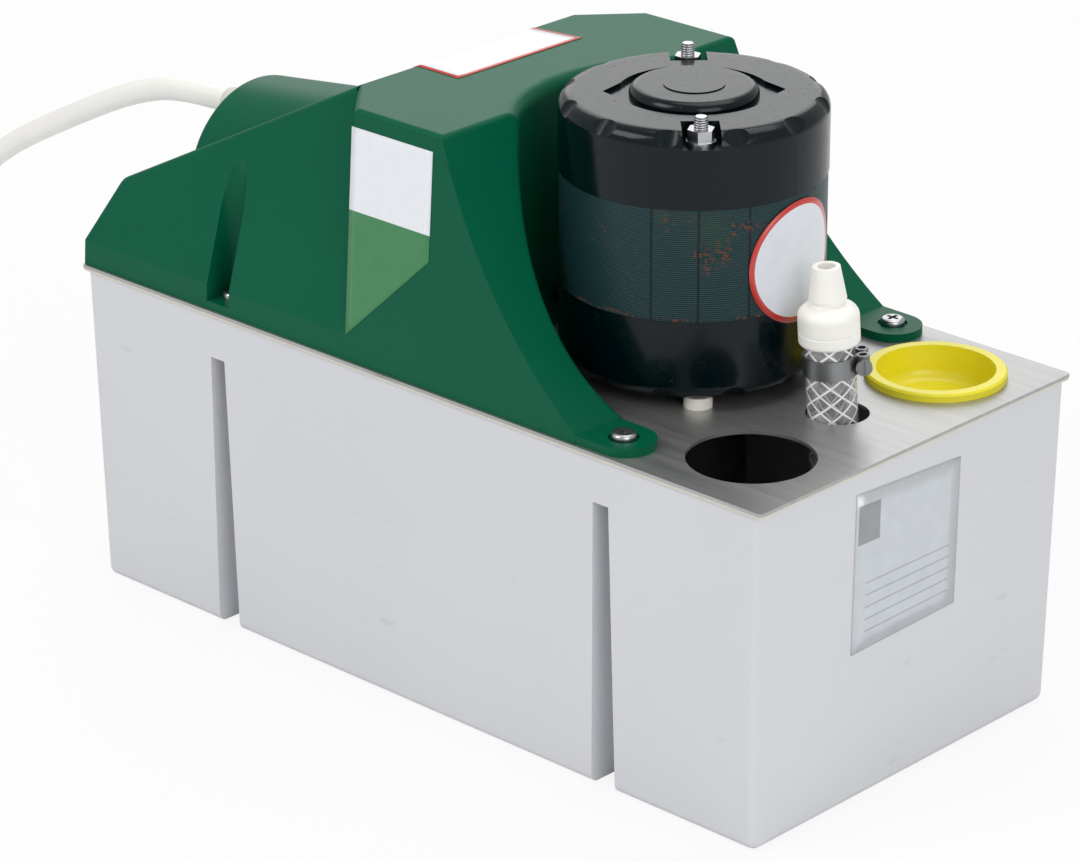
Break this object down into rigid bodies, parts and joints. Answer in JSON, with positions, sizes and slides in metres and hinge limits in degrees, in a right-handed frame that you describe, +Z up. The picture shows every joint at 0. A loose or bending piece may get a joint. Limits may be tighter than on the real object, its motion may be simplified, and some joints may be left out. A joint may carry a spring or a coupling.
{
  "type": "condensate pump",
  "caption": "Condensate pump: plastic tank under a steel plate with a centrifugal pump, motor, float switch, moulded cover, drain inlets, check valve and a supply cable with bare cores.",
  "frame": {"origin": "on the floor under the middle of the tank", "axes": "+Z up, +X along the tank towards the inlets"},
  "size_m": [0.4469, 0.2169, 0.194],
  "materials": {
    "tank_plastic": "smooth moulded light grey",
    "gasket_foam": "cream closed-cell strip",
    "plate_steel": "brushed stainless sheet",
    "cover_plastic": "satin dark green moulding",
    "zinc_steel": "bright zinc plate",
    "motor_enamel": "gloss black enamel",
    "lamination_steel": "varnished lamination edges",
    "winding": "enamelled copper wire",
    "rotor_steel": "ground lamination steel",
    "rotor_aluminium": "cast",
    "shaft_steel": "ground steel",
    "bearing_bronze": "sintered bronze",
    "pump_plastic": "moulded glass-filled nylon",
    "slinger_rubber": "moulded rubber",
    "impeller_plastic": "moulded acetal",
    "hose_clear": "clear hose with braid",
    "valve_plastic": "off-white moulding",
    "seat_rubber": "moulded ring",
    "ball_plastic": "polished ball",
    "plug_plastic": "yellow soft plastic",
    "float_foam": "skinned foam",
    "rod_steel": "drawn stainless",
    "nylon_white": "moulded nylon",
    "switch_case": "moulded phenolic",
    "plunger_red": "moulded acetal",
    "block_plastic": "moulded nylon",
    "brass": "plain brass",
    "cable_sheath": "off-white PVC",
    "lead_sheath": "black PVC",
    "gland_plastic": "off-white moulding",
    "tie_plastic": "black nylon",
    "core_plastic": "coloured PVC insulation"
  },
  "bodies": {
    "housing": {"alarm_microswitch": "switch_case", "cable_clamp": "nylon_white", "cable_coil": "cable_sheath", "cable_cores": "core_plastic", "cable_gland": "gland_plastic", "coil_tie": "tie_plastic", "column_nuts": "zinc_steel", "cover": "cover_plastic", "cover_screws": "zinc_steel", "earth_screw": "brass", "hose_clip_bands": "zinc_steel", "hose_clip_screws": "zinc_steel", "inner_lead": "cable_sheath", "lamination_stack": "lamination_steel", "lead_grommet": "slinger_rubber", "lever_pin": "rod_steel", "lower_bearing": "bearing_bronze", "mains_cable": "cable_sheath", "motor_bottom_cap": "motor_enamel", "motor_lead": "lead_sheath", "motor_nuts": "zinc_steel", "motor_spacers": "nylon_white", "motor_studs": "zinc_steel", "motor_top_cap": "motor_enamel", "plate_screws": "zinc_steel", "pump_bush": "bearing_bronze", "pump_column": "pump_plastic", "pump_housing": "pump_plastic", "pump_inlet_cover": "pump_plastic", "pump_screws": "zinc_steel", "rim_gasket": "gasket_foam", "riser_hose": "hose_clear", "rod_bush": "nylon_white", "run_microswitch": "switch_case", "stator_windings": "winding", "switch_bracket": "zinc_steel", "switch_screws": "zinc_steel", "tank": "tank_plastic", "terminal_block": "block_plastic", "terminal_screws": "brass", "top_plate": "plate_steel", "upper_bearing": "bearing_bronze", "valve_body": "valve_plastic", "valve_cap": "valve_plastic", "valve_seat": "seat_rubber"},
    "drive": {"rotor_core": "rotor_steel", "rotor_end_rings": "rotor_aluminium", "motor_shaft": "shaft_steel", "impeller": "impeller_plastic", "impeller_nut": "brass", "shaft_slinger": "slinger_rubber"},
    "float": {"float_body": "float_foam", "float_rod": "rod_steel", "float_clips": "rod_steel", "rod_collars": "nylon_white"},
    "lever": {"float_lever": "nylon_white"},
    "run_button": {"run_plunger": "plunger_red"},
    "alarm_button": {"alarm_plunger": "plunger_red"},
    "ball": {"valve_ball": "ball_plastic"},
    "plug": {"inlet_plug": "plug_plastic"}
  },
  "joints": [
    {"name": "drive_spin", "type": "hinge", "parent": "housing", "child": "drive", "pos_m": [0.053, 0, 0.12], "axis": [0, 0, 1], "continuous": true},
    {"name": "float_rise", "type": "slide", "parent": "housing", "child": "float", "axis": [0, 0, 1], "range_m": [0, 0.024]},
    {"name": "lever_turn", "type": "hinge", "parent": "housing", "child": "lever", "pos_m": [-0.086, 0, 0.1292], "axis": [0, -1, 0], "range_deg": [0, 26.99]},
    {"name": "run_push", "type": "slide", "parent": "housing", "child": "run_button", "axis": [-1, 0, 0], "range_m": [0, 0.0006]},
    {"name": "alarm_push", "type": "slide", "parent": "housing", "child": "alarm_button", "axis": [-1, 0, 0], "range_m": [0, 0.0006]},
    {"name": "ball_lift", "type": "slide", "parent": "housing", "child": "ball", "axis": [-0.0442, -0.0421, 0.9981], "range_m": [0, 0.0024]},
    {"name": "plug_lift", "type": "slide", "parent": "housing", "child": "plug", "axis": [0, 0, 1], "range_m": [0, 0.025]}
  ],
  "couplings": [
    {"joint": "lever_turn", "follows": "float_rise", "rad_per_m": 19.629},
    {"joint": "run_push", "follows": "float_rise", "ratio": 0.025},
    {"joint": "alarm_push", "follows": "float_rise", "ratio": 0.025}
  ]
}
